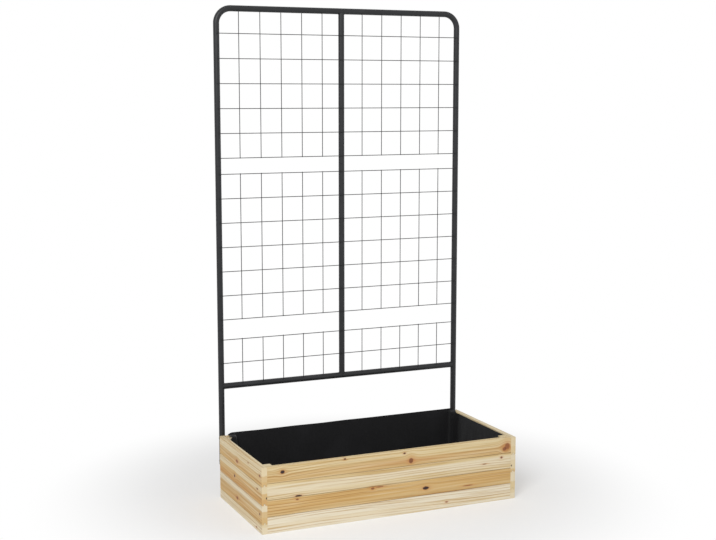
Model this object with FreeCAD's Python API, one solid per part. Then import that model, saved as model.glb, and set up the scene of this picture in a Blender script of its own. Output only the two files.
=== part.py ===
import FreeCAD, Part
import math
import os

# A floor planter: an oblong box of tongued and grooved softwood boards with a fabric liner, and a
# tall trellis of bent steel tube and welded wire bolted to its back.
# Millimetres. X runs along the box, Y from its front to its back, Z up.
# Pieces are drawn about the middle of the box's footprint. On export they move forward together, so
# that the origin is on the ground in the middle of the whole product, posts and their screws included.

V = FreeCAD.Vector
ALONG = V(1, 0, 0)
BACK = V(0, 1, 0)
UP = V(0, 0, 1)
FULL_TURN = 360.0

# Box
box_length = 1000.0
box_depth = 458.0
box_height = 235.0
board_thickness = 20.0
long_wall_board_count = 4       # equal boards in the front and in the back
end_board_height = 67.0         # full boards from the rim down, the lowest is ripped to fit
tongue_thickness = 6.0
tongue_height = 6.0
tongue_clearance = 0.3
v_joint = 1.6                   # chamfer on the outer face at each joint between boards
arris = 1.2                     # chamfer on the rim

# Battens, rails and floor inside the box
batten_size = 28.0              # square corner batten
batten_rim_drop = 2.0
batten_lift = 4.0               # clear of damp ground
rail_width = 20.0
rail_height = 20.0
rail_lift = 12.0
slat_count = 10
slat_thickness = 12.0
slat_gap = 8.0
slat_end_clearance = 1.5
notch_clearance = 1.0

# Liner
liner_thickness = 2.5
liner_clearance = 0.4
liner_rim_drop = 3.0            # at the front and the ends
liner_back_rise = 15.0          # the back edge stands above the rim
liner_rise_run = 45.0           # how far forward the raised edge stays level
liner_fall_run = 55.0           # then how long it takes to fall

# Trellis frame
tube_diameter = 22.0
tube_wall = 1.2
post_inset = 13.3               # from the end of the box to the post's centre line
post_foot_height = 125.0
trellis_height = 1810.0
bend_radius = 54.0              # centre line of the two top corners
crossbar_height = 420.0         # centre line
lower_joint_height = 633.5
upper_joint_height = 1235.0
spigot_length = 40.0
spigot_clearance = 0.25
spigot_root = 3.0               # solid depth under the shoulder
cope_trim = 3.0                 # feather edge taken off a coped tube end

# Wire panels, one to each section of the frame
wire_diameter = 2.5
cells_per_bay = 6
upper_rows = 6
middle_rows = 7
lower_rows = 2
upper_joint_margin = 29.0       # from the upper joint to the first wire on either side
lower_joint_margin = 37.5       # the same at the lower joint
wire_overhang = 4.0             # past the post's centre line
upright_overhang = 2.0          # past the last cross wire

# Fixings of the posts, and their foot caps
coach_screw_diameter = 6.0
coach_screw_bite = 32.0
coach_hole_clearance = 0.3
coach_pilot_clearance = 0.1
coach_head_across_flats = 10.0
coach_head_thickness = 4.0
coach_screw_drops = (14.0, 101.0)   # below the rim
washer_diameter = 18.0
washer_thickness = 1.6
cap_flange = 2.0
cap_plug_depth = 5.0
cap_plug_clearance = 0.15

# Sides of wires, screw shanks and their holes
light_sides = 8

# Worked out from the sizes above
half_length = box_length / 2
half_depth = box_depth / 2
inner_half_length = half_length - board_thickness
inner_half_depth = half_depth - board_thickness
long_board_height = box_height / long_wall_board_count
batten_top = box_height - batten_rim_drop
rail_top = rail_lift + rail_height
floor_top = rail_top + slat_thickness
tube_radius = tube_diameter / 2
bore_radius = tube_radius - tube_wall
post_x = half_length - post_inset
post_y = half_depth + tube_radius             # the posts bear on the back boards
top_tube_height = trellis_height - tube_radius
wire_radius = wire_diameter / 2
behind_box = tube_diameter + washer_thickness + coach_head_thickness
cell_width = post_x / cells_per_bay
cross_wire_y = post_y - tube_radius - wire_radius
upright_wire_y = post_y - tube_radius + wire_radius
# Where an upright wire's back meets the round side of a level tube
wire_seat_drop = math.sqrt(tube_radius ** 2 - (tube_radius - wire_diameter) ** 2)


def export(node, shape):
    placed = shape.translated(BACK * -behind_box / 2)
    placed.exportStep("parts/" + node + ".step")


def box_between(low, high):
    return Part.makeBox(high.x - low.x, high.y - low.y, high.z - low.z, low)


def lathe(profile, axis_point):
    """Turn a closed profile of (radius, height) points about an upright axis."""
    points = [V(radius, 0, height) for radius, height in profile]
    face = Part.Face(Part.makePolygon(points + points[:1]))
    solid = face.revolve(V(0, 0, 0), UP, FULL_TURN)
    solid.translate(axis_point)
    return solid


def rod(start, direction, radius, length):
    return Part.makeCylinder(radius, length, start, direction)


def sided_rod(sides, start, direction, radius, length):
    """A rod with flat sides that lie at radius from its axis."""
    corner = radius / math.cos(math.pi / sides)
    turns = [math.pi * (2 * side + 1) / sides for side in range(sides)]
    points = [V(corner * math.cos(turn), corner * math.sin(turn), 0) for turn in turns]
    solid = Part.Face(Part.makePolygon(points + points[:1])).extrude(UP * length)
    solid.Placement = FreeCAD.Placement(start, FreeCAD.Rotation(UP, direction))
    return solid


def light_rod(start, direction, radius, length):
    """What repeats often is drawn with few sides, to keep the mesh light."""
    return sided_rod(light_sides, start, direction, radius, length)


# ---------------------------------------------------------------- walls

def board_outline(height, has_tongue, has_groove):
    """Section of a board: distance in from its outer face, height above its lower edge."""
    tongue_near = (board_thickness - tongue_thickness) / 2
    tongue_far = tongue_near + tongue_thickness
    groove_near = tongue_near - tongue_clearance
    groove_far = tongue_far + tongue_clearance
    groove_depth = tongue_height + tongue_clearance
    if has_groove:
        lower = [
            (0, v_joint),
            (v_joint, 0),
            (groove_near, 0),
            (groove_near, groove_depth),
            (groove_far, groove_depth),
            (groove_far, 0),
            (board_thickness, 0),
        ]
    else:
        lower = [(0, 0), (board_thickness, 0)]
    if has_tongue:
        upper = [
            (board_thickness, height),
            (tongue_far, height),
            (tongue_far, height + tongue_height),
            (tongue_near, height + tongue_height),
            (tongue_near, height),
            (v_joint, height),
            (0, height - v_joint),
        ]
    else:
        upper = [
            (board_thickness, height - arris),
            (board_thickness - arris, height),
            (arris, height),
            (0, height - arris),
        ]
    return lower + upper


def board(start, inward, along, length, bottom, top):
    """One board of a wall whose outer face starts at a corner of the box."""
    outline = board_outline(top - bottom, top < box_height, bottom > 0)
    points = [start + inward * depth + UP * (bottom + rise) for depth, rise in outline]
    face = Part.Face(Part.makePolygon(points + points[:1]))
    return face.extrude(along * length)


def board_levels(full_height):
    """Lower and upper edge of each board, from the rim down; the lowest takes what is left."""
    count = math.ceil(round(box_height / full_height, 6))
    levels = []
    for index in range(count):
        top = box_height - index * full_height
        levels.append((max(top - full_height, 0.0), top))
    return levels


def long_wall(side):
    """Boards of the front (side -1) or the back (side 1), between the end walls."""
    start = V(-inner_half_length, side * half_depth, 0)
    levels = board_levels(long_board_height)
    return [board(start, BACK * -side, ALONG, 2 * inner_half_length, *level) for level in levels]


def end_wall(side):
    """Boards of the left end (side -1) or the right end (side 1), over the whole depth."""
    start = V(side * half_length, -half_depth, 0)
    levels = board_levels(end_board_height)
    return [board(start, ALONG * -side, BACK, box_depth, *level) for level in levels]


# ---------------------------------------------------------------- battens, rails and floor

def corner_batten(side_x, side_y):
    near = V(side_x * inner_half_length, side_y * inner_half_depth, batten_lift)
    far = V(near.x - side_x * batten_size, near.y - side_y * batten_size, batten_top)
    low = V(min(near.x, far.x), min(near.y, far.y), near.z)
    high = V(max(near.x, far.x), max(near.y, far.y), far.z)
    return box_between(low, high)


def floor_rail(side):
    wall = side * inner_half_depth
    inside = wall - side * rail_width
    half_run = inner_half_length - batten_size
    low = V(-half_run, min(wall, inside), rail_lift)
    high = V(half_run, max(wall, inside), rail_top)
    return box_between(low, high)


def floor_slats():
    """Loose slats on the rails; the first and last are notched round the corner battens."""
    pitch = 2 * inner_half_length / slat_count
    half_run = inner_half_depth - slat_end_clearance
    notch_x = inner_half_length - batten_size - notch_clearance
    notch_y = inner_half_depth - batten_size - notch_clearance
    slats = []
    for index in range(slat_count):
        left = -inner_half_length + index * pitch + slat_gap / 2
        right = left + pitch - slat_gap
        slat = box_between(V(left, -half_run, rail_top), V(right, half_run, floor_top))
        if right > notch_x or left < -notch_x:
            side = 1 if right > notch_x else -1
            for end in (-1, 1):
                low = V(min(side * notch_x, side * half_length), min(end * notch_y, end * half_depth), 0)
                high = V(max(side * notch_x, side * half_length), max(end * notch_y, end * half_depth), box_height)
                slat = slat.cut(box_between(low, high))
        slats.append(slat)
    return slats


# ---------------------------------------------------------------- liner

def liner_block(inset, bottom, top):
    """The space between the boards, drawn in by inset and stepped round the corner battens."""
    x_wall = inner_half_length - inset
    y_wall = inner_half_depth - inset
    x_batten = x_wall - batten_size
    y_batten = y_wall - batten_size
    corner = [(x_wall, y_batten), (x_batten, y_batten), (x_batten, y_wall)]
    back_half = corner + [(-x, y) for x, y in reversed(corner)]
    plan = back_half + [(-x, -y) for x, y in back_half]
    points = [V(x, y, bottom) for x, y in plan]
    return Part.Face(Part.makePolygon(points + points[:1])).extrude(UP * (top - bottom))


def liner_edge_cutter():
    """All that lies above the liner's edge: level at the front, and swept up to the back."""
    low = box_height - liner_rim_drop
    high = box_height + liner_back_rise
    rise_y = inner_half_depth - liner_rise_run
    fall_y = rise_y - liner_fall_run
    sky = box_height + 2 * liner_back_rise
    left = -half_length
    sweep = Part.BSplineCurve()
    sweep.buildFromPoles([
        V(left, fall_y, low),
        V(left, (fall_y + rise_y) / 2, low),
        V(left, (fall_y + rise_y) / 2, high),
        V(left, rise_y, high),
    ])
    corners = [
        V(left, rise_y, high),
        V(left, half_depth, high),
        V(left, half_depth, sky),
        V(left, -half_depth, sky),
        V(left, -half_depth, low),
        V(left, fall_y, low),
    ]
    edges = [sweep.toShape()]
    edges += [Part.makeLine(start, end) for start, end in zip(corners, corners[1:])]
    return Part.Face(Part.Wire(edges)).extrude(ALONG * box_length)


def fabric_liner():
    """A fabric tray that hugs the walls, goes round the battens and stands up at the back."""
    top = box_height + liner_back_rise
    outer = liner_block(liner_clearance, floor_top, top)
    inner = liner_block(liner_clearance + liner_thickness, floor_top + liner_thickness, top)
    return outer.cut(inner).cut(liner_edge_cutter())


# ---------------------------------------------------------------- trellis frame

def plain_tube(start, direction, length):
    outer = rod(start, direction, tube_radius, length)
    return outer.cut(rod(start, direction, bore_radius, length))


def spigot_tube(x, bottom, joint):
    """An upright tube whose necked end plugs into the tube above."""
    neck = bore_radius - spigot_clearance
    neck_bore = neck - tube_wall
    top = joint + spigot_length
    profile = [
        (bore_radius, bottom),
        (tube_radius, bottom),
        (tube_radius, joint),
        (neck, joint),
        (neck, top),
        (neck_bore, top),
        (neck_bore, joint - spigot_root),
        (bore_radius, joint - spigot_root - tube_wall),
    ]
    return lathe(profile, V(x, post_y, 0))


def lower_post(side):
    """From the foot behind the box to the lower joint, with the two holes for its coach screws."""
    post = spigot_tube(side * post_x, post_foot_height, lower_joint_height)
    for drop in coach_screw_drops:
        start = V(side * post_x, half_depth, box_height - drop)
        post = post.cut(light_rod(start, BACK, coach_screw_diameter / 2 + coach_hole_clearance, tube_diameter))
    return post


def upper_arch():
    """One tube bent at both top corners, open at its two lower ends."""
    spring = top_tube_height - bend_radius
    shoulder = post_x - bend_radius
    nook = bend_radius * math.sin(math.radians(45))
    left_foot = V(-post_x, post_y, upper_joint_height)
    left_spring = V(-post_x, post_y, spring)
    left_bend = V(-shoulder - nook, post_y, spring + nook)
    left_top = V(-shoulder, post_y, top_tube_height)
    right_top = V(shoulder, post_y, top_tube_height)
    right_bend = V(shoulder + nook, post_y, spring + nook)
    right_spring = V(post_x, post_y, spring)
    right_foot = V(post_x, post_y, upper_joint_height)
    path = Part.Wire([
        Part.makeLine(left_foot, left_spring),
        Part.Arc(left_spring, left_bend, left_top).toShape(),
        Part.makeLine(left_top, right_top),
        Part.Arc(right_top, right_bend, right_spring).toShape(),
        Part.makeLine(right_spring, right_foot),
    ])
    outer = path.makePipe(Part.Face(Part.Wire(Part.makeCircle(tube_radius, left_foot, UP))))
    inner = path.makePipe(Part.Face(Part.Wire(Part.makeCircle(bore_radius, left_foot, UP))))
    return outer.cut(inner)


def level_tube_cutter(height):
    """The round side of a level tube, for coping an upright that is welded to it."""
    return rod(V(-tube_diameter, post_y, height), ALONG, tube_radius, 2 * tube_diameter)


def upper_centre_post():
    length = top_tube_height - cope_trim - upper_joint_height
    tube = plain_tube(V(0, post_y, upper_joint_height), UP, length)
    return tube.cut(level_tube_cutter(top_tube_height))


def lower_centre_post():
    tube = spigot_tube(0, crossbar_height + cope_trim, lower_joint_height)
    return tube.cut(level_tube_cutter(crossbar_height))


def crossbar():
    """Level tube between the two lower posts, coped to their round sides."""
    reach = post_x - cope_trim
    tube = plain_tube(V(-reach, post_y, crossbar_height), ALONG, 2 * reach)
    for side in (-1, 1):
        start = V(side * post_x, post_y, crossbar_height - tube_diameter)
        tube = tube.cut(rod(start, UP, tube_radius, 2 * tube_diameter))
    return tube


# ---------------------------------------------------------------- wire panels

def cross_wires(heights):
    reach = post_x + wire_overhang
    return [light_rod(V(-reach, cross_wire_y, z), ALONG, wire_radius, 2 * reach) for z in heights]


def upright_wires(bottom, top):
    wires = []
    for side in (-1, 1):
        for cell in range(1, cells_per_bay):
            start = V(side * cell * cell_width, upright_wire_y, bottom)
            wires.append(light_rod(start, UP, wire_radius, top - bottom))
    return wires


def upper_panel():
    lowest = upper_joint_height + upper_joint_margin
    pitch = (top_tube_height - lowest) / upper_rows
    heights = [lowest + row * pitch for row in range(upper_rows)]
    uprights = upright_wires(lowest - upright_overhang, top_tube_height - wire_seat_drop)
    return cross_wires(heights) + uprights


def middle_panel():
    lowest = lower_joint_height + lower_joint_margin
    highest = upper_joint_height - upper_joint_margin
    pitch = (highest - lowest) / (middle_rows - 1)
    heights = [lowest + row * pitch for row in range(middle_rows)]
    uprights = upright_wires(lowest - upright_overhang, highest + upright_overhang)
    return cross_wires(heights) + uprights


def lower_panel():
    highest = lower_joint_height - lower_joint_margin
    pitch = (highest - crossbar_height) / lower_rows
    heights = [highest - row * pitch for row in range(lower_rows)]
    uprights = upright_wires(crossbar_height + wire_seat_drop, highest + upright_overhang)
    return cross_wires(heights) + uprights


# ---------------------------------------------------------------- post fixings

def coach_screw(x, height):
    """Hexagon head outside the washer, shank through the post and into the end board."""
    under_head = half_depth + tube_diameter + washer_thickness
    head = sided_rod(6, V(x, under_head, height), BACK, coach_head_across_flats / 2, coach_head_thickness)
    tip = half_depth - coach_screw_bite
    shank = light_rod(V(x, tip, height), BACK, coach_screw_diameter / 2, under_head - tip)
    return head.fuse(shank).removeSplitter()


def pilot_hole(x, height):
    radius = coach_screw_diameter / 2 + coach_pilot_clearance
    depth = coach_screw_bite + coach_pilot_clearance
    return light_rod(V(x, half_depth - depth, height), BACK, radius, depth)


def washer(x, height):
    place = V(x, half_depth + tube_diameter, height)
    disc = rod(place, BACK, washer_diameter / 2, washer_thickness)
    return disc.cut(light_rod(place, BACK, coach_screw_diameter / 2 + coach_hole_clearance, washer_thickness))


def board_at(height):
    """Which board of an end wall is at this height."""
    levels = board_levels(end_board_height)
    return [index for index, (bottom, top) in enumerate(levels) if bottom < height <= top][0]


def fix_posts(end_boards):
    """Coach screws through the posts into the back ends of the end boards, over washers."""
    screws = []
    washers = []
    for side in (-1, 1):
        for drop in coach_screw_drops:
            height = box_height - drop
            screws.append(coach_screw(side * post_x, height))
            washers.append(washer(side * post_x, height))
            index = board_at(height)
            bored = end_boards[side][index].cut(pilot_hole(side * post_x, height))
            end_boards[side][index] = bored
    return screws, washers


def foot_caps():
    """Push-in plastic caps that close the lower ends of the posts."""
    plug = bore_radius - cap_plug_clearance
    profile = [
        (0, post_foot_height - cap_flange),
        (tube_radius, post_foot_height - cap_flange),
        (tube_radius, post_foot_height),
        (plug, post_foot_height),
        (plug, post_foot_height + cap_plug_depth),
        (0, post_foot_height + cap_plug_depth),
    ]
    return [lathe(profile, V(side * post_x, post_y, 0)) for side in (-1, 1)]


# ---------------------------------------------------------------- assembly

def export_numbered(name, shapes):
    for index, shape in enumerate(shapes):
        export(name + "_" + str(index + 1), shape)


def build_box():
    end_boards = {side: end_wall(side) for side in (-1, 1)}
    screws, washers = fix_posts(end_boards)
    for side_x, end_name in ((-1, "left"), (1, "right")):
        export_numbered(end_name + "_end_board", end_boards[side_x])
        for side_y, long_name in ((-1, "front"), (1, "back")):
            export("corner_batten_" + long_name + "_" + end_name, corner_batten(side_x, side_y))
    for side, name in ((-1, "front"), (1, "back")):
        export_numbered(name + "_board", long_wall(side))
        export("floor_rail_" + name, floor_rail(side))
    export_numbered("floor_slat", floor_slats())
    export("fabric_liner", fabric_liner())
    export("post_coach_screws", Part.Compound(screws))
    export("post_washers", Part.Compound(washers))


def build_trellis():
    for side, name in ((-1, "left"), (1, "right")):
        export("lower_post_" + name, lower_post(side))
        export("middle_post_" + name, spigot_tube(side * post_x, lower_joint_height, upper_joint_height))
    export("upper_arch", upper_arch())
    export("crossbar", crossbar())
    export("centre_post_lower", lower_centre_post())
    export("centre_post_middle", spigot_tube(0, lower_joint_height, upper_joint_height))
    export("centre_post_upper", upper_centre_post())
    export("wire_panel_upper", Part.Compound(upper_panel()))
    export("wire_panel_middle", Part.Compound(middle_panel()))
    export("wire_panel_lower", Part.Compound(lower_panel()))
    export("post_foot_caps", Part.Compound(foot_caps()))


os.makedirs("parts", exist_ok=True)
build_box()
build_trellis()
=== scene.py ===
"""Looks for an oblong softwood planter with a fabric liner and a tall black trellis.

Metres, in the frame's own axes: X along the box, Y from its front to its back, Z up.
"""

import math
import random

import bmesh
import bpy
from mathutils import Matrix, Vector, noise


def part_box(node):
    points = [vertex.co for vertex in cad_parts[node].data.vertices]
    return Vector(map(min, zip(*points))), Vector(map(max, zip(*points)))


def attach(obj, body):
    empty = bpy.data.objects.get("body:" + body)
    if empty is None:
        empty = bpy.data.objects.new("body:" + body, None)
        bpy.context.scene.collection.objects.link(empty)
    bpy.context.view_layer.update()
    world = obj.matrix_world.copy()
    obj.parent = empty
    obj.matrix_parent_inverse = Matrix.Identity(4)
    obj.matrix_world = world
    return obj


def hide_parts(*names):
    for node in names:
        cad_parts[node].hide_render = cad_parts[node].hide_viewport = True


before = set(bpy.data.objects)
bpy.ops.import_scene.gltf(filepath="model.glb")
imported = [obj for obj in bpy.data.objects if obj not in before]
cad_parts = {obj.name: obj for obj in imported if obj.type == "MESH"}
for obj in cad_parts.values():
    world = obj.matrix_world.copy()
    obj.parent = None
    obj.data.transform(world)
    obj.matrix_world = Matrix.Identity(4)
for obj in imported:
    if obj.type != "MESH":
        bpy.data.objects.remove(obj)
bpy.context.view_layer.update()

MM = 0.001
ALONG = Vector((1, 0, 0))
BACK = Vector((0, 1, 0))
UP = Vector((0, 0, 1))

# ---------------------------------------------------------------- sizes, from the frame

boards_per_wall = 4
box_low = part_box("left_end_board_4")[0]
box_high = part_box("right_end_board_1")[1]
box_middle = (box_low + box_high) / 2
rim = box_high.z
board_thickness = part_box("left_end_board_1")[1].x - box_low.x
inner_half_length = box_high.x - board_thickness
inner_half_depth = box_high.y - box_middle.y - board_thickness

batten_low, batten_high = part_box("corner_batten_back_left")
batten_size = batten_high.x - batten_low.x

post_low, post_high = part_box("lower_post_right")
tube_radius = (post_high.x - post_low.x) / 2
post_x = (post_high.x + post_low.x) / 2
post_y = (post_high.y + post_low.y) / 2
post_foot = post_low.z
lower_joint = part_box("middle_post_left")[0].z
upper_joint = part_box("upper_arch")[0].z
top_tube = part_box("upper_arch")[1].z - tube_radius
crossbar_height = sum(corner.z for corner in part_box("crossbar")) / 2
bend_radius = 54 * MM

# A little thicker than the frame's, because thin dark lines on white render pale
wire_radius = 1.4 * MM
wire_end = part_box("wire_panel_upper")[1].x
upright_overhang = 2 * MM
cells_per_bay = 6

washer_low, washer_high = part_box("post_washers")
washer_radius = 9 * MM


# ---------------------------------------------------------------- shader maths

class Signal:
    """An output socket that can be used in sums."""

    def __init__(self, paint, socket):
        self.paint = paint
        self.socket = socket

    def math(self, operation, *values):
        return self.paint.node("ShaderNodeMath", {"operation": operation}, dict(enumerate(values)))

    def __add__(self, other):
        return self.math("ADD", self, other)

    def __sub__(self, other):
        return self.math("SUBTRACT", self, other)

    def __rsub__(self, other):
        return self.math("SUBTRACT", other, self)

    def __mul__(self, other):
        return self.math("MULTIPLY", self, other)

    def __truediv__(self, other):
        return self.math("DIVIDE", self, other)

    def __rtruediv__(self, other):
        return self.math("DIVIDE", other, self)

    def __pow__(self, other):
        return self.math("POWER", self, other)

    def __rpow__(self, other):
        return self.math("POWER", other, self)

    __radd__ = __add__
    __rmul__ = __mul__

    def sine(self):
        return self.math("SINE", self)

    def size(self):
        return self.math("ABSOLUTE", self)

    def exp(self):
        return self.math("EXPONENT", self)

    def capped(self):
        """No more than 1."""
        return self.math("MINIMUM", self, 1.0)

    def step(self, low, high):
        """0 below low, 1 above high, and a smooth rise between."""
        settings = {"interpolation_type": "SMOOTHSTEP"}
        return self.paint.node("ShaderNodeMapRange", settings, {0: self, 1: low, 2: high})


class Paint:
    """The nodes of a material or of the world, and the one method that adds to them."""

    def __init__(self, owner):
        owner.use_nodes = True
        self.owner = owner
        self.tree = owner.node_tree
        self.tree.nodes.clear()

    def node(self, kind, settings=None, inputs=None, output=0):
        made = self.tree.nodes.new(kind)
        for key, value in (settings or {}).items():
            if key == "stops":
                self.set_stops(made.color_ramp, value)
            else:
                setattr(made, key, value)
        for key, value in (inputs or {}).items():
            if isinstance(value, Signal):
                self.tree.links.new(value.socket, made.inputs[key])
            else:
                made.inputs[key].default_value = value
        return Signal(self, made.outputs[output]) if made.outputs else made

    def set_stops(self, ramp, stops):
        while len(ramp.elements) < len(stops):
            ramp.elements.new(0.5)
        for element, (place, colour) in zip(ramp.elements, stops):
            element.position = place
            element.color = colour

    def outputs(self, signal, names):
        """Several outputs of the node that a signal comes from."""
        return [Signal(self, signal.socket.node.outputs[name]) for name in names]

    def position(self):
        return self.node("ShaderNodeTexCoord", output="Object")

    def axes(self, vector):
        return self.outputs(self.node("ShaderNodeSeparateXYZ", inputs={0: vector}), "XYZ")

    def vector(self, x, y, z):
        return self.node("ShaderNodeCombineXYZ", inputs={0: x, 1: y, 2: z})

    def noise(self, vector, scale, detail=2.0, roughness=0.5):
        """Values about 0.5."""
        inputs = {"Vector": vector, "Scale": scale, "Detail": detail, "Roughness": roughness}
        return self.node("ShaderNodeTexNoise", inputs=inputs)

    def mix(self, factor, first, second, blend="MIX"):
        settings = {"data_type": "RGBA", "blend_type": blend}
        return self.node("ShaderNodeMix", settings, {0: factor, 6: first, 7: second}, 2)

    def bump(self, height, strength, distance):
        inputs = {"Strength": strength, "Distance": distance, "Height": height}
        return self.node("ShaderNodeBump", inputs=inputs)

    def finish(self, **inputs):
        """Principled surface; an underscore in a name stands for a space."""
        named = {key.replace("_", " "): value for key, value in inputs.items()}
        surface = self.node("ShaderNodeBsdfPrincipled", inputs=named)
        self.node("ShaderNodeOutputMaterial", inputs={"Surface": surface})
        return self.owner


def rgb(red, green, blue):
    """A colour as a screen shows it, 0 to 255, in the renderer's linear values."""
    def linear(level):
        share = level / 255
        return share / 12.92 if share <= 0.04045 else ((share + 0.055) / 1.055) ** 2.4
    return (linear(red), linear(green), linear(blue), 1.0)


# ---------------------------------------------------------------- softwood

IVORY = rgb(230, 221, 199)
CREAM = rgb(226, 213, 184)
PALE = rgb(221, 204, 166)
STRAW = rgb(217, 196, 150)
TAN = rgb(209, 179, 126)
HONEY = rgb(207, 171, 110)
AMBER = rgb(202, 156, 88)
KNOT_HALO = rgb(190, 126, 68)
KNOT_WOOD = rgb(146, 82, 44)
KNOT_BARK = rgb(38, 18, 12)
LATEWOOD_TINT = (0.66, 0.47, 0.28, 1.0)
STREAK_TINT = (0.84, 0.74, 0.58, 1.0)
# Painted shade: the tint that darkens the wood along the groove where two boards meet
JOINT_SHADE_TINT = (0.34, 0.22, 0.12, 1.0)


class Knot:
    """A knot on a board's face: its place along the grain and up, and its reach both ways.

    Dark runs from 0 for sound red wood to 1 for a black ring of bark. A flame is how far the
    reddish wood trails off along the grain. Lengths are given in millimetres.
    """

    def __init__(self, along, up, length=9.0, height=6.0, dark=0.5, flame=0.0):
        self.along = along * MM
        self.up = up * MM
        self.length = length * MM
        self.height = height * MM
        self.dark = dark
        self.flame = flame * MM

    def spread(self, along, up):
        """How far a point lies from the knot each way, in shares of its reach."""
        return (along - self.along) / self.length, (up - self.up) / self.height


def knot_marks(knots, along, up, ragged):
    """The height that the grain seems to have as it parts round the knots, and their own marks."""
    flow = up
    halo = wood = bark = 0.0
    for knot in knots:
        beside, above = knot.spread(along, up)
        reach = beside * beside + above * above
        edge = reach + ragged
        flow = flow - above * (reach * -0.16).exp() * (0.8 * knot.height)
        halo = halo + (reach * -0.4).exp() * 0.75
        wood = wood + (1.0 - edge.step(0.5, 1.3)) * (0.65 + 0.35 * knot.dark)
        bark = bark + (1.0 - edge.step(0.3, 1.2)) * knot.dark
        if knot.flame:
            trail = ((along - knot.along).size() / -knot.flame).exp()
            halo = halo + trail * (above * above * -1.6).exp() * 0.6
    return flow, halo, wood, bark


def cut_end(paint, place, deep, up, upper_edge, tone, knots, ragged):
    """Colour and pores of a board's cut end, where its rings are seen across."""
    arc_pace = 1.9 / MM
    below = up - upper_edge
    arcs = ((deep * deep + below * below * 0.6) ** 0.5 * arc_pace).sine() * 0.5 + 0.5
    pores = paint.noise(place, 1.1 / MM, 2.0)
    colour = paint.mix(0.3 - pores * 0.3, tone, CREAM)
    colour = paint.mix(arcs ** 3.0 * 0.4, colour, STREAK_TINT, "MULTIPLY")
    for knot in knots:
        beside, above = knot.spread(deep, up)
        core = 1.0 - (beside * beside + above * above + ragged).step(0.3, 1.2)
        colour = paint.mix(core * knot.dark, colour, KNOT_BARK)
    return colour, pores


def softwood(
    name, grain, low, high, tones, knots=(), seed=0.0, joints=(False, False), end_knots=()
):
    """Planed softwood whose tones colour it from its low to its high edge.

    Grain names the axis it runs along: X, Y or Z. Joints tell whether another board meets the
    lower and the upper edge.
    """
    ring_sway = 46 * MM
    ring_pace = 0.6 / MM
    band_sway = 16 * MM
    band_fray = 5 * MM
    shadow_full = 0.6 * MM
    shadow_gone = 2.4 * MM

    paint = Paint(bpy.data.materials.new(name))
    place = paint.position()
    x, y, z = paint.axes(place)
    along, deep, up = {"X": (x, y, z), "Y": (y, x, z), "Z": (z, y, x)}[grain]
    ragged = (paint.noise(place, 0.3 / MM, 3.0, 0.6) - 0.5) * 1.7
    flow, knot_halo, knot_wood, knot_bark = knot_marks(knots, along, up, ragged)

    def drawn_out(run, across, detail=1.0, roughness=0.5, run_seed=0.0, across_seed=0.0):
        """Noise that changes slowly along the grain and faster across it."""
        spot = paint.vector(along * run + run_seed, flow * across + across_seed, deep * across)
        return paint.noise(spot, 1.0, detail, roughness)

    # Growth rings, long and slow along the grain
    sway = drawn_out(1.3, 7.0, 1.5, run_seed=seed, across_seed=seed) - 0.5
    spread = drawn_out(0.6, 26.0, across_seed=seed)
    bold = drawn_out(1.6, 38.0, run_seed=seed)
    streak = drawn_out(2.4, 120.0, 2.0, 0.6, run_seed=seed)
    fibre = drawn_out(6.0, 340.0, 3.0, 0.65, across_seed=seed)
    ring_turn = (flow + deep * 0.7 + sway * ring_sway) * ring_pace + spread * 11.0
    late = (ring_turn.sine() * 0.5 + 0.5) ** 7.0 * bold.step(0.34, 0.58)

    # Bands of sapwood and heartwood
    share = (flow + sway * band_sway + (streak - 0.5) * band_fray - low) / (high - low)
    tone = paint.node("ShaderNodeValToRGB", {"stops": tones}, {0: share})
    colour = paint.mix((1.0 - streak).step(0.5, 0.72) * 0.4, tone, CREAM)
    colour = paint.mix(streak.step(0.49, 0.66) * 0.95, colour, STREAK_TINT, "MULTIPLY")
    colour = paint.mix(fibre.step(0.5, 0.7) * 0.55, colour, STREAK_TINT, "MULTIPLY")
    colour = paint.mix(late * 0.8, colour, LATEWOOD_TINT, "MULTIPLY")

    normal = paint.axes(paint.node("ShaderNodeNewGeometry", output="Normal"))
    end_grain = normal["XYZ".index(grain)].size().step(0.6, 0.95)
    face = 1.0 - end_grain
    end_colour, pores = cut_end(paint, place, deep, up, high, tone, end_knots, ragged)
    colour = paint.mix(end_grain, colour, end_colour)

    if knots:
        colour = paint.mix(knot_halo.capped() * face * 0.8, colour, KNOT_HALO)
        colour = paint.mix(knot_wood.capped() * face, colour, KNOT_WOOD)
        colour = paint.mix(knot_bark.capped() * face, colour, KNOT_BARK)
    # Painted shade: within a few millimetres of an edge that meets another board, the wood is
    # darkened to stand in for the shade in the groove between them
    for joined, distance in zip(joints, (up - low, high - up)):
        if joined:
            near = 1.0 - distance.step(shadow_full, shadow_gone)
            shade = near * (0.65 + 0.35 * bold.step(0.3, 0.6))
            colour = paint.mix(shade * face, colour, JOINT_SHADE_TINT, "MULTIPLY")

    grooves = fibre * 0.5 + late * 0.5 + end_grain * pores
    return paint.finish(
        Base_Color=colour,
        Roughness=0.5 + 0.16 * fibre + 0.1 * end_grain,
        Normal=paint.bump(grooves, 0.22, 0.25 * MM),
    )


# ---------------------------------------------------------------- metal, plastic and fabric

def black_powder_coat():
    """Satin black with the faint orange peel of a baked powder."""
    paint = Paint(bpy.data.materials.new("black_powder_coat"))
    place = paint.position()
    peel = paint.noise(place, 0.9 / MM, 2.0)
    dust = paint.noise(place, 22.0, 3.0, 0.6).step(0.45, 0.8)
    return paint.finish(
        Base_Color=paint.mix(dust * 0.5, rgb(34, 35, 37), rgb(48, 49, 52)),
        Roughness=0.42 + 0.1 * dust,
        Specular_IOR_Level=0.3,
        Normal=paint.bump(peel, 0.12, 0.1 * MM),
    )


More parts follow.
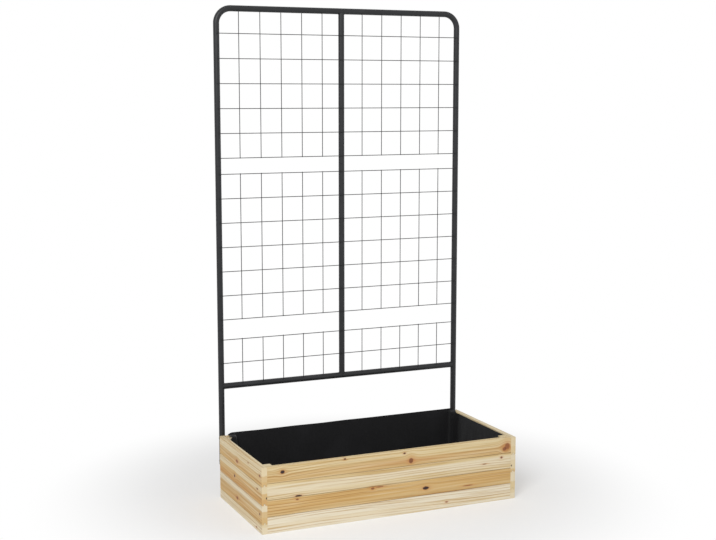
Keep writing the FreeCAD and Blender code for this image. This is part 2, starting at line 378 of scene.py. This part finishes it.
def zinc_plate():
    """Bright zinc with a cloudy bloom and fine brush marks."""
    paint = Paint(bpy.data.materials.new("zinc_plate"))
    place = paint.position()
    bloom = paint.noise(place, 0.35 / MM, 3.0, 0.6)
    brushed = paint.noise(place, 3.0 / MM, 1.0)
    return paint.finish(
        Base_Color=paint.mix(bloom.step(0.3, 0.7), rgb(176, 179, 184), rgb(212, 213, 212)),
        Metallic=1.0,
        Roughness=0.26 + 0.2 * bloom,
        Normal=paint.bump(brushed, 0.1, 0.05 * MM),
    )


def black_plastic():
    """Moulded plastic with a fine matt grain."""
    paint = Paint(bpy.data.materials.new("black_plastic"))
    grain = paint.noise(paint.position(), 2.4 / MM, 2.0)
    return paint.finish(
        Base_Color=paint.mix(grain, rgb(26, 26, 27), rgb(36, 36, 38)),
        Roughness=0.55 + 0.1 * grain,
        Normal=paint.bump(grain, 0.2, 0.08 * MM),
    )


def black_felt():
    """Thin non-woven fabric: matted fibres pressed with a grid of small dots."""
    dot_pitch = 3.2 * MM
    paint = Paint(bpy.data.materials.new("black_felt"))
    place = paint.position()
    x, y, z = paint.axes(place)
    mat = paint.noise(place, 0.55 / MM, 4.0, 0.7)
    hair = paint.noise(place, 2.6 / MM, 2.0, 0.6)
    worn = paint.noise(place, 9.0, 2.0).step(0.4, 0.75)
    turn = 2 * math.pi / dot_pitch
    dots = ((x + y) * turn).sine() * (z * turn + (x - y) * turn).sine()
    pressed = dots.step(0.35, 0.85)
    colour = paint.mix(mat.step(0.3, 0.75), rgb(14, 14, 15), rgb(28, 28, 30))
    colour = paint.mix(worn * 0.3, colour, rgb(40, 40, 43))
    return paint.finish(
        Base_Color=colour,
        Roughness=0.82 + 0.12 * hair,
        Specular_IOR_Level=0.2,
        Sheen_Weight=0.12,
        Normal=paint.bump(mat + hair * 0.5 - pressed * 0.6, 0.55, 0.35 * MM),
    )


# ---------------------------------------------------------------- mesh helpers

def piece(name, data, material, replaced, sharp=30):
    """Put a finished bmesh into the scene as a part of the product.

    Edges that turn by more than sharp, in degrees, are shaded as edges.
    """
    mesh = bpy.data.meshes.new(name)
    bmesh.ops.recalc_face_normals(data, faces=data.faces)
    data.to_mesh(mesh)
    data.free()
    mesh.shade_smooth()
    mesh.set_sharp_from_angle(angle=math.radians(sharp))
    mesh.materials.append(material)
    made = bpy.data.objects.new(name, mesh)
    bpy.context.scene.collection.objects.link(made)
    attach(made, "root")
    if replaced:
        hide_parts(*replaced)
    return made


def ring_at(data, centre, side, other, radius, count):
    """A ring of vertices about a centre, in the plane of two square directions."""
    ring = []
    for index in range(count):
        turn = 2 * math.pi * index / count
        spoke = side * math.cos(turn) + other * math.sin(turn)
        ring.append(data.verts.new(centre + spoke * radius))
    return ring


def bridge(data, first, second):
    """Faces between two rings with as many vertices."""
    count = len(first)
    for index in range(count):
        after = (index + 1) % count
        data.faces.new((first[index], first[after], second[after], second[index]))


def rod(data, points, radii, count=40, closed=False):
    """A round rod through the points, with a radius at each; a closed one is a ring."""
    points = [Vector(point) for point in points]
    if not hasattr(radii, "__len__"):
        radii = [radii] * len(points)
    last = len(points) - 1
    side = None
    rings = []
    for index, point in enumerate(points):
        before = points[index - 1] if index or closed else point
        after = points[(index + 1) % len(points)] if index < last or closed else point
        run = (after - before).normalized()
        if side is None:
            side = run.orthogonal().normalized()
        side = (side - run * side.dot(run)).normalized()
        rings.append(ring_at(data, point, side, run.cross(side), radii[index], count))
    for first, second in zip(rings, rings[1:]):
        bridge(data, first, second)
    if closed:
        bridge(data, rings[-1], rings[0])
    else:
        data.faces.new(rings[0])
        data.faces.new(rings[-1])


def lathe(data, profile, start, direction, count=40):
    """Turn (distance along, radius) pairs about a line; a radius of 0 closes the form."""
    side = direction.orthogonal().normalized()
    other = direction.cross(side)
    rings = []
    for reach, radius in profile:
        centre = start + direction * reach
        if radius == 0:
            rings.append([data.verts.new(centre)])
        else:
            rings.append(ring_at(data, centre, side, other, radius, count))
    for first, second in zip(rings, rings[1:]):
        if len(first) == 1 or len(second) == 1:
            hub, edge = (first[0], second) if len(first) == 1 else (second[0], first)
            for index in range(count):
                data.faces.new((hub, edge[index], edge[(index + 1) % count]))
        else:
            bridge(data, first, second)


def drop_of_weld(data, centre, size):
    """A small bead of weld metal, size being its half lengths."""
    made = bmesh.ops.create_icosphere(data, subdivisions=2, radius=1.0)
    for vertex in made["verts"]:
        vertex.co = centre + Vector(a * b for a, b in zip(vertex.co, size))


def softened(node, name, width, material):
    """A wooden part as the frame has it, with its edges eased."""
    edge_turn = 20
    data = bmesh.new()
    data.from_mesh(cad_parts[node].data)
    bmesh.ops.remove_doubles(data, verts=data.verts, dist=0.01 * MM)
    bmesh.ops.dissolve_limit(
        data, angle_limit=math.radians(1), verts=data.verts, edges=data.edges
    )
    edges = [
        edge for edge in data.edges
        if edge.is_manifold and edge.calc_face_angle() > math.radians(edge_turn)
    ]
    bmesh.ops.bevel(
        data, geom=edges, offset=width, segments=2, affect="EDGES", clamp_overlap=True
    )
    return piece(name, data, material, [node], edge_turn)


# ---------------------------------------------------------------- the box

planed_edge = 0.5 * MM
sawn_edge = 0.7 * MM


def bands(*pairs):
    """Tones from the top of a board down: how far each starts, as a share, and its colour."""
    blur = 0.025
    stops = []
    for index, (start, colour) in enumerate(pairs):
        end = pairs[index + 1][0] if index + 1 < len(pairs) else 1.0
        stops.append((1 - min(start + blur, 1.0) if index else 1.0, colour))
        stops.append((1 - max(end - blur, 0.0), colour))
    return sorted(stops, key=lambda stop: stop[0])


# Boards are numbered from the rim down
FRONT_BANDS = {
    1: bands((0.0, STRAW), (0.5, TAN)),
    2: bands((0.0, STRAW), (0.3, CREAM), (0.72, PALE)),
    3: bands((0.0, STRAW), (0.12, HONEY), (0.72, TAN)),
    4: bands((0.0, IVORY), (0.55, CREAM), (0.75, IVORY)),
}
FRONT_KNOTS = {
    1: [
        Knot(-424, 213, 8.5, 6.5, 1.0),
        Knot(-191, 231, 4.5, 3, 0.9),
        Knot(41, 225, 5, 3.4, 0.8),
        Knot(67, 195, 9, 10, 0.4, flame=130),
        Knot(464, 203, 11, 13, 0.2, flame=20),
        Knot(452, 194, 8, 7, 0.3),
    ],
    2: [
        Knot(440, 163, 5, 4, 0.45),
        Knot(368, 146, 9, 1.6, 0.4),
        Knot(-366, 121.5, 13, 3, 1.0),
    ],
    3: [
        Knot(-370, 109, 6, 3, 0.3),
        Knot(-84, 111, 7, 4.4, 0.3),
        Knot(-56, 114, 15, 2.2, 0.25),
        Knot(127, 86, 13, 6.5, 1.0),
        Knot(300, 74, 22, 2.4, 0.1),
    ],
    4: [Knot(212, 23, 6, 3, 0.2)],
}
LEFT_BANDS = {
    1: bands((0.0, PALE), (0.4, TAN), (0.7, HONEY)),
    2: bands((0.0, PALE), (0.42, HONEY), (0.7, AMBER)),
    3: bands((0.0, CREAM), (0.38, TAN), (0.65, HONEY)),
    4: bands((0.0, PALE), (0.4, CREAM)),
}
RIGHT_BANDS = {
    1: bands((0.0, PALE), (0.5, STRAW)),
    2: bands((0.0, CREAM), (0.35, PALE), (0.8, TAN)),
    3: bands((0.0, CREAM), (0.6, STRAW)),
    4: bands((0.0, PALE), (0.4, CREAM)),
}
# Placed from the middle of the box's depth
LEFT_KNOTS = {
    1: [
        Knot(31, 191, 10, 6, 0.35, flame=40),
        Knot(-209, 203, 6, 4, 0.6),
        Knot(-91, 218, 6, 2, 0.4),
    ],
    2: [Knot(-183, 150, 7, 3, 0.6), Knot(60, 129, 7, 5.5, 0.9)],
    3: [Knot(32, 55, 10, 6, 0.35, flame=40), Knot(-206, 67, 6, 4, 0.6)],
    4: [Knot(-173, 11, 6, 2.5, 0.4)],
}


def shifted(knots, offset):
    for knot in knots:
        knot.along += offset
    return knots


def stray_knots(chance, low, high, half_run):
    """A few knots for a board whose own knots aren't known."""
    edge_margin = 8 * MM
    knots = []
    for _ in range(chance.randint(1, 3)):
        along = chance.uniform(-half_run, half_run) / MM
        up = chance.uniform(low + edge_margin, high - edge_margin) / MM
        length = chance.uniform(5, 12)
        height = length * chance.uniform(0.4, 0.7)
        knots.append(Knot(along, up, length, height, chance.uniform(0.2, 1.0)))
    return knots


def dot_on_strip(side):
    """The small black knot on the cut end of an end wall's second board."""
    from_inner_face = 3
    height = 127
    along = math.copysign(inner_half_length / MM + from_inner_face, side)
    return Knot(along, height, 2.6, 4.5, 0.95)


def wall_boards():
    """Every board of the four walls, each with its own wood."""
    chance = random.Random(7)
    walls = {
        "front_board": ("X", FRONT_BANDS, FRONT_KNOTS, 0.0),
        "back_board": ("X", FRONT_BANDS, {}, 0.0),
        "left_end_board": ("Y", LEFT_BANDS, LEFT_KNOTS, box_middle.y),
        "right_end_board": ("Y", RIGHT_BANDS, {}, 0.0),
    }
    for index, (wall, (grain, tones, knots, offset)) in enumerate(walls.items()):
        for number in range(1, boards_per_wall + 1):
            node = f"{wall}_{number}"
            low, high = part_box(node)
            half_run = (high - low)["XYZ".index(grain)] / 2 * 0.9
            if number in knots:
                marks = shifted(knots[number], offset)
            else:
                marks = stray_knots(chance, low.z, high.z, half_run)
            seed = 3.7 * number + 11.3 * index
            joints = (number < boards_per_wall, number > 1)
            dots = [dot_on_strip(low.x)] if grain == "Y" and number == 2 else []
            wood = softwood(
                node + "_wood", grain, low.z, high.z, tones[number], marks, seed, joints, dots
            )
            softened(node, node + "_planed", planed_edge, wood)


def inner_timber():
    """Battens, rails and slats: rougher wood out of sight."""
    plain = bands((0.0, STRAW), (0.5, PALE))
    woods = {
        "corner_batten_": softwood("batten_wood", "Z", -0.5, 0.5, plain, seed=5.0),
        "floor_rail_": softwood("rail_wood", "X", 0.0, 0.05, plain, seed=8.0),
        "floor_slat_": softwood("slat_wood", "Y", 0.0, 0.05, plain, seed=13.0),
    }
    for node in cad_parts:
        for start, wood in woods.items():
            if node.startswith(start):
                softened(node, node + "_sawn", sawn_edge, wood)


# ---------------------------------------------------------------- liner

felt_thickness = 1.4 * MM
liner_gap = 1.6 * MM
# More of a gap round the battens, because felt rounds off their corners
batten_slack = 2.0 * MM
path_spacing = 6 * MM
fold_depth = 5.0 * MM
ripple_depth = 1.4 * MM
swell_height = 4.5 * MM
crease_height = 3.0 * MM
liner_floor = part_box("floor_slat_1")[1].z
liner_foot = liner_floor + 2 * MM
liner_edge_front = rim - 3 * MM
liner_edge_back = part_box("fabric_liner")[1].z
opening_low = batten_high.z + 5.5 * MM
opening_high = batten_high.z + 11 * MM


def liner_plan(round_battens):
    """Closed path round the inside of the box, as close points from the back right, going left.

    It steps in round the corner battens, or runs square into the corners as above their tops.
    """
    half_x = inner_half_length - liner_gap
    half_y = inner_half_depth - liner_gap
    x_batten = half_x - batten_size - batten_slack
    y_batten = half_y - batten_size - batten_slack
    nook = (x_batten, y_batten) if round_battens else (half_x, half_y)
    corner = [(half_x, y_batten), nook, (x_batten, half_y)]
    back = corner + [(-x, y) for x, y in reversed(corner)]
    corners = [Vector((x, y, 0)) for x, y in back + [(-x, -y) for x, y in back]]
    path = []
    for start, end in zip(corners, corners[1:] + corners[:1]):
        steps = max(1, round((end - start).length / path_spacing))
        path += [start.lerp(end, step / steps) for step in range(steps)]
    for _ in range(3):
        path = [
            (path[i - 1] + path[i] * 2 + path[(i + 1) % len(path)]) / 4 for i in range(len(path))
        ]
    return [point + BACK * box_middle.y for point in path]


def smooth_step(value, low, high):
    share = min(max((value - low) / (high - low), 0.0), 1.0)
    return share * share * (3 - 2 * share)


def waver(x, y, z):
    """Smooth noise from 0 to 1."""
    return noise.noise(Vector((x, y, z))) * 0.5 + 0.5


def edge_height(place, reach):
    """Height of the liner's edge: low in front, up at the back and rounded off at its corners."""
    rise_starts = inner_half_depth - 36 * MM
    rise_ends = inner_half_depth - 8 * MM
    corner_starts = inner_half_length - 20 * MM
    corner_drop = 6 * MM
    rise = smooth_step(place.y - box_middle.y, rise_starts, rise_ends)
    corner = smooth_step(abs(place.x), corner_starts, inner_half_length)
    wave = (noise.noise(Vector((reach * 9, 7.0, 0.0))) - 1) * MM
    stand = liner_edge_back - liner_edge_front - corner * corner_drop
    return liner_edge_front + stand * rise + wave


def liner_wall_row(data, share, path, collar):
    """One ring round the walls, at a share of the way from the edge down to the floor."""
    belly = math.sin(math.pi * min(share * 1.1, 1.0))
    free = 0.12 + 0.88 * smooth_step(share, 0.0, 0.25)
    ring = []
    for index, point in enumerate(path):
        before, after = path[index - 1], path[(index + 1) % len(path)]
        inward = UP.cross(after - before).normalized()
        reach = index * path_spacing
        folds = waver(reach * 24, share * 1.3, 1.0)
        ripple = waver(reach * 60, share * 5.0, 4.0)
        offset = fold_depth * folds * belly + ripple_depth * ripple * free
        top = edge_height(collar[index], reach)
        level = top + (liner_foot - top) * share
        # Above the battens the tray opens out into the corners
        spot = point.lerp(collar[index], smooth_step(level, opening_low, opening_high))
        ring.append(data.verts.new(spot + inward * offset + UP * level))
    return ring


def liner_floor_row(data, share, foot_of_wall):
    """One ring on the floor, at a share of the way from the foot of the wall to the middle line."""
    half_middle_line = inner_half_length * 0.5
    ring = []
    for vertex in foot_of_wall:
        start = vertex.co
        along = min(max(start.x, -half_middle_line), half_middle_line)
        spot = start.lerp(Vector((along, box_middle.y, start.z)), share)
        swell = waver(spot.x * 9, spot.y * 9, 2.0)
        crease = abs(noise.noise(Vector((spot.x * 22, spot.y * 14, 9.0))))
        lift = swell_height * swell + crease_height * (1 - crease) ** 4
        ring.append(data.verts.new(spot + UP * lift * smooth_step(share, 0.0, 0.25)))
    return ring


def liner():
    """Black felt tray: loose folds down the walls, its edge low in front and up at the back."""
    path = liner_plan(True)
    collar = liner_plan(False)
    wall_rows = 32
    floor_rows = 30
    data = bmesh.new()
    # Rows lie closer near the edge
    shares = [(row / wall_rows) ** 1.6 for row in range(wall_rows + 1)]
    rows = [liner_wall_row(data, share, path, collar) for share in shares]
    foot_of_wall = rows[-1]
    for row in range(1, floor_rows + 1):
        rows.append(liner_floor_row(data, row / floor_rows, foot_of_wall))
    for first, second in zip(rows, rows[1:]):
        bridge(data, first, second)
    # The last row lies on the middle line, where its front and back halves become one
    bmesh.ops.remove_doubles(data, verts=rows[-1], dist=0.05 * MM)
    made = piece("liner_felt", data, black_felt(), ["fabric_liner"], 180)
    thick = made.modifiers.new("thickness", "SOLIDIFY")
    thick.thickness = felt_thickness
    thick.offset = 0
    wall_height = liner_edge_front - liner_floor
    flat = (2 * inner_half_depth + 2 * wall_height, 2 * inner_half_length + 2 * wall_height)
    corner_waste = 4 * wall_height ** 2
    flat[0] * flat[1] - corner_waste


# ---------------------------------------------------------------- trellis frame

tube_sides = 48
# Tube ends are just broken, so that a joint shows as a fine line
end_ease = 0.6 * MM
# How far a tube runs into the side of the one that it is welded to
weld_sink = 2 * MM


def tube(node, name, points, coat, eased=True):
    """A tube of the frame, with its two ends eased or left square under a weld."""
    radii = [tube_radius] * len(points)
    if eased:
        radii[0] = radii[-1] = tube_radius - end_ease
    data = bmesh.new()
    rod(data, points, radii, tube_sides)
    piece(name, data, coat, [node])


def upright(node, x, bottom, top, coat):
    heights = (bottom, bottom + end_ease, top - end_ease, top)
    tube(node, node + "_tube", [(x, post_y, height) for height in heights], coat)


def arc(centre, start_turn, end_turn, steps=20):
    """Points of a bend in the tube, between two angles about its centre."""
    turns = [start_turn + (end_turn - start_turn) * step / steps for step in range(steps + 1)]
    return [centre + (ALONG * math.cos(t) + UP * math.sin(t)) * bend_radius for t in turns]


def arch(coat):
    """One tube bent at both top corners."""
    shoulder = post_x - bend_radius
    spring = top_tube - bend_radius
    left_bend = arc(Vector((-shoulder, post_y, spring)), math.pi, math.pi / 2)
    right_bend = arc(Vector((shoulder, post_y, spring)), math.pi / 2, 0)
    left_foot = Vector((-post_x, post_y, upper_joint))
    right_foot = Vector((post_x, post_y, upper_joint))
    ease = UP * end_ease
    points = [left_foot, left_foot + ease] + left_bend
    points += right_bend + [right_foot + ease, right_foot]
    tube("upper_arch", "arch_tube", points, coat)


def saddle_weld(data, centre, run, across):
    """A bead of weld where the end of one tube meets the round side of another at its centre.

    Run is the way to the other tube, and across is square to both.
    """
    bead_radius = 1.5 * MM
    bead_sides = 10
    ripples = 24
    count = 72
    third = run.cross(across)
    points = []
    for index in range(count):
        turn = 2 * math.pi * index / count
        round_side = across * math.cos(turn) + third * math.sin(turn)
        ripple = 1.01 + 0.012 * math.sin(ripples * turn)
        points.append(centre + (round_side * ripple - run * abs(math.sin(turn))) * tube_radius)
    rod(data, points, bead_radius, bead_sides, closed=True)


def trellis_frame(coat):
    for name, x in (("left", -post_x), ("right", post_x)):
        upright("lower_post_" + name, x, post_foot, lower_joint, coat)
        upright("middle_post_" + name, x, lower_joint, upper_joint, coat)
    arch(coat)
    upright("centre_post_lower", 0.0, crossbar_height + weld_sink, lower_joint, coat)
    upright("centre_post_middle", 0.0, lower_joint, upper_joint, coat)
    upright("centre_post_upper", 0.0, upper_joint, top_tube - weld_sink, coat)
    crossbar_ends = [(x, post_y, crossbar_height) for x in (weld_sink - post_x, post_x - weld_sink)]
    tube("crossbar", "crossbar_tube", crossbar_ends, coat, eased=False)

    data = bmesh.new()
    for side in (-1, 1):
        saddle_weld(data, Vector((side * post_x, post_y, crossbar_height)), ALONG * side, BACK)
    saddle_weld(data, Vector((0, post_y, crossbar_height)), -UP, BACK)
    saddle_weld(data, Vector((0, post_y, top_tube)), UP, BACK)
    piece("frame_welds", data, coat, [], 60)


# ---------------------------------------------------------------- wire panels

wire_sides = 12
drop_on_tube = Vector((2.2, 1.1, 2.4)) * MM
drop_on_tube_sink = 0.4 * MM
drop_on_wire = Vector((1.7, 1.0, 1.7)) * MM


def wire_panel(name, heights, coat):
    """Level wires on the face of the tubes, upright wires behind them, and their spots of weld."""
    low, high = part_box(name)
    face = post_y - tube_radius
    level_y = face - wire_radius
    upright_y = face + wire_radius
    chance = random.Random(name)
    data = bmesh.new()
    for height in heights:
        ends = [(-wire_end, level_y, height), (wire_end, level_y, height)]
        rod(data, ends, wire_radius, wire_sides)
        for x in (-post_x, 0.0, post_x):
            drop_of_weld(data, Vector((x, face - drop_on_tube_sink, height)), drop_on_tube)
    for side in (-1, 1):
        for cell in range(1, cells_per_bay):
            x = side * cell * post_x / cells_per_bay
            rod(data, [(x, upright_y, low.z), (x, upright_y, high.z)], wire_radius, wire_sides)
            for height in heights:
                size = drop_on_wire * chance.uniform(0.85, 1.15)
                drop_of_weld(data, Vector((x, face, height)), size)
    piece(name + "_wires", data, coat, [name], 60)


def evenly(start, end, gaps):
    """Heights from start to end, with equal gaps between them."""
    return [start + (end - start) * step / gaps for step in range(gaps + 1)]


def wire_panels(coat):
    """Where a panel ends at a level tube, the tube stands in for its last level wire."""
    upper_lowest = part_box("wire_panel_upper")[0].z + upright_overhang
    middle_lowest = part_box("wire_panel_middle")[0].z + upright_overhang
    middle_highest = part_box("wire_panel_middle")[1].z - upright_overhang
    lower_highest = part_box("wire_panel_lower")[1].z - upright_overhang
    wire_panel("wire_panel_upper", evenly(upper_lowest, top_tube, 6)[:-1], coat)
    wire_panel("wire_panel_middle", evenly(middle_lowest, middle_highest, 6), coat)
    wire_panel("wire_panel_lower", evenly(lower_highest, crossbar_height, 2)[:-1], coat)


# ---------------------------------------------------------------- fixings

def fixing_places():
    """Centres of the washers' front faces, where they bear on the posts."""
    heights = (washer_low.z + washer_radius, washer_high.z - washer_radius)
    places = [(side * post_x, height) for side in (-1, 1) for height in heights]
    return [Vector((x, washer_low.y, height)) for x, height in places]


def washers(zinc):
    thick = washer_high.y - washer_low.y
    hole = 3.3 * MM
    ease = 0.35 * MM
    profile = [
        (0, hole),
        (0, washer_radius - ease),
        (ease, washer_radius),
        (thick - ease, washer_radius),
        (thick, washer_radius - ease),
        (thick, hole + ease),
        (thick - ease, hole),
        (0, hole),
    ]
    data = bmesh.new()
    for place in fixing_places():
        lathe(data, profile, place, BACK)
    bmesh.ops.remove_doubles(data, verts=data.verts, dist=0.001 * MM)
    piece("washers_zinc", data, zinc, ["post_washers"])


def hexagon_ring(data, centre, half_flats, corner_limit, share):
    """A hexagon with its corners cut round at a limit, drawn in to a share of its size.

    The limit is a multiple of half the distance across its flats.
    """
    count = 48
    sixth = math.pi / 3
    ring = []
    for index in range(count):
        turn = 2 * math.pi * index / count
        off_flat = (turn + sixth / 2) % sixth - sixth / 2
        radius = min(half_flats / math.cos(off_flat), half_flats * corner_limit)
        spoke = ALONG * math.cos(turn) * radius + UP * math.sin(turn) * radius
        ring.append(data.verts.new(centre + spoke * share))
    return ring


def coach_screws(zinc):
    """Hexagon heads with a turned-down top, on shanks that bite into the end boards."""
    low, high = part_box("post_coach_screws")
    under_head = washer_high.y
    half_flats = 5 * MM
    corner_limit = 1.1
    crown = 1.0 * MM
    crown_share = 0.93
    shank_radius = 2.9 * MM
    levels = [
        (under_head, corner_limit, 1.0),
        (high.y - crown, corner_limit, 1.0),
        (high.y, 1.0, crown_share),
    ]
    data = bmesh.new()
    for place in fixing_places():
        rings = [
            hexagon_ring(data, Vector((place.x, y, place.z)), half_flats, limit, share)
            for y, limit, share in levels
        ]
        for first, second in zip(rings, rings[1:]):
            bridge(data, first, second)
        data.faces.new(rings[0])
        data.faces.new(rings[-1])
        shank = [(place.x, low.y, place.z), (place.x, under_head, place.z)]
        rod(data, shank, shank_radius, 24)
    piece("coach_screws_zinc", data, zinc, ["post_coach_screws"])


def board_screws(zinc):
    """Countersunk screws, driven from inside through the corner battens into every board."""
    head_radius = 3.8 * MM
    head_depth = 2.6 * MM
    shank_radius = 1.6 * MM
    shank_end = 30 * MM
    tip = 34 * MM
    recess_radius = 1.9 * MM
    recess_depth = 1.6 * MM
    recess_foot = (1.7 * MM, 0)
    recess = [(0, head_radius), (0, recess_radius), (recess_depth, 0.6 * MM), recess_foot]
    body = [(0, head_radius), (head_depth, shank_radius), (shank_end, shank_radius), (tip, 0)]
    # The screws into the long walls and those into the end walls pass one another
    half_step = 6 * MM
    proud_of_batten = 0.05 * MM
    data = bmesh.new()
    for long_name, to_long_wall in (("front", -1), ("back", 1)):
        for end_name, to_end_wall in (("left", -1), ("right", 1)):
            low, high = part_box(f"corner_batten_{long_name}_{end_name}")
            middle = (low + high) / 2
            inner_x = low.x if to_end_wall > 0 else high.x
            inner_y = low.y if to_long_wall > 0 else high.y
            for number in range(1, boards_per_wall + 1):
                for board, direction, x, y, step in (
                    (f"{long_name}_board", BACK * to_long_wall, middle.x, inner_y, half_step),
                    (f"{end_name}_end_board", ALONG * to_end_wall, inner_x, middle.y, -half_step),
                ):
                    board_low, board_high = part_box(f"{board}_{number}")
                    height = (max(board_low.z, low.z) + min(board_high.z, high.z)) / 2
                    start = Vector((x, y, height + step)) - direction * proud_of_batten
                    lathe(data, recess, start, direction, 24)
                    lathe(data, body, start, direction, 24)
    bmesh.ops.remove_doubles(data, verts=data.verts, dist=0.001 * MM)
    piece("board_screws_zinc", data, zinc, [], 40)


def foot_caps(plastic):
    """Push-in caps that close the lower ends of the posts."""
    low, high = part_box("post_foot_caps")
    flange = post_foot - low.z
    height = high.z - low.z
    plug_radius = tube_radius - 1.4 * MM
    ease = 0.7 * MM
    profile = [
        (0, 0),
        (0, tube_radius - ease),
        (ease * 0.3, tube_radius - ease * 0.3),
        (ease, tube_radius),
        (flange, tube_radius),
        (flange, plug_radius),
        (height, plug_radius),
        (height, 0),
    ]
    data = bmesh.new()
    for side in (-1, 1):
        lathe(data, profile, Vector((side * post_x, post_y, low.z)), UP)
    piece("foot_caps_plastic", data, plastic, ["post_foot_caps"], 40)


# ---------------------------------------------------------------- studio

WHITE = (1.0, 1.0, 1.0, 1.0)
FLOOR_GREY = (0.92, 0.92, 0.92, 1.0)


def rays_that_see(paint):
    """1 for rays from the eye, a reflection or a clear surface, and 0 for rays that only light."""
    kinds = ("Is Camera Ray", "Is Glossy Ray", "Is Transmission Ray")
    eye, mirrored, clear = paint.outputs(paint.node("ShaderNodeLightPath"), kinds)
    return (eye + mirrored + clear).capped()


def floor():
    """Pale floor that takes the product's shadow and fades into the backdrop."""
    half_width = 40.0
    fade_centre_y = 0.1
    fade_starts = 0.6
    fade_ends = 1.25
    least_white = 0.3
    paint = Paint(bpy.data.materials.new("studio_floor"))
    x, y, _ = paint.axes(paint.position())
    away = (x * x + (y - fade_centre_y) * (y - fade_centre_y)) ** 0.5
    matt = paint.node("ShaderNodeBsdfDiffuse", inputs={"Color": FLOOR_GREY})
    white = paint.node("ShaderNodeEmission", inputs={"Color": WHITE, "Strength": 1.0})
    fade = least_white + (1 - least_white) * away.step(fade_starts, fade_ends)
    share = fade * rays_that_see(paint)
    surface = paint.node("ShaderNodeMixShader", inputs={0: share, 1: matt, 2: white})
    paint.node("ShaderNodeOutputMaterial", inputs={"Surface": surface})
    data = bmesh.new()
    bmesh.ops.create_grid(data, x_segments=1, y_segments=1, size=half_width)
    mesh = bpy.data.meshes.new("studio_floor")
    data.to_mesh(mesh)
    data.free()
    mesh.materials.append(paint.owner)
    made = bpy.data.objects.new("studio_floor", mesh)
    bpy.context.scene.collection.objects.link(made)


def backdrop():
    """Even white to the eye and in reflections; a softer white as the light on things."""
    world = bpy.data.worlds.new("studio")
    bpy.context.scene.world = world
    paint = Paint(world)
    light = paint.node("ShaderNodeBackground", inputs={"Color": WHITE, "Strength": 0.5})
    white = paint.node("ShaderNodeBackground", inputs={"Color": WHITE, "Strength": 1.0})
    inputs = {0: rays_that_see(paint), 1: light, 2: white}
    surface = paint.node("ShaderNodeMixShader", inputs=inputs)
    paint.node("ShaderNodeOutputWorld", inputs={"Surface": surface})


def soft_lamp(name, place, target, size, power):
    lamp = bpy.data.lights.new(name, "AREA")
    lamp.shape = "DISK"
    lamp.size = size
    lamp.energy = power
    made = bpy.data.objects.new(name, lamp)
    made.location = place
    aim = Vector(target) - Vector(place)
    made.rotation_euler = aim.to_track_quat("-Z", "Y").to_euler()
    bpy.context.scene.collection.objects.link(made)


def camera():
    """Where the product is seen from: left of its middle, at eye height, looking a little down."""
    frame_width_pixels = 716
    focal_length_pixels = 1289.6
    eye_left = 1.9334
    eye_in_front = 4.2415
    eye_height = 1.4945
    look_down = math.radians(7.77)
    look_right = math.radians(24.07)
    data = bpy.data.cameras.new("eye")
    data.sensor_width = 36.0
    data.lens = data.sensor_width * (focal_length_pixels / frame_width_pixels)
    made = bpy.data.objects.new("eye", data)
    made.location = (-eye_left, box_middle.y - eye_in_front, eye_height)
    made.rotation_euler = (math.pi / 2 - look_down, 0, -look_right)
    bpy.context.scene.collection.objects.link(made)
    bpy.context.scene.camera = made


def studio():
    floor()
    backdrop()
    soft_lamp("key", place=(-2.5, -3.15, 3.2), target=(0, 0, 0.5), size=2.0, power=120)
    soft_lamp("fill", place=(3.4, -2.6, 2.2), target=(0, 0, 0.6), size=3.0, power=16)
    camera()
    bpy.context.scene.view_settings.view_transform = "Standard"


# ---------------------------------------------------------------- all together

wall_boards()
inner_timber()
liner()
powder_coat = black_powder_coat()
trellis_frame(powder_coat)
wire_panels(powder_coat)
zinc = zinc_plate()
washers(zinc)
coach_screws(zinc)
board_screws(zinc)
foot_caps(black_plastic())
studio()
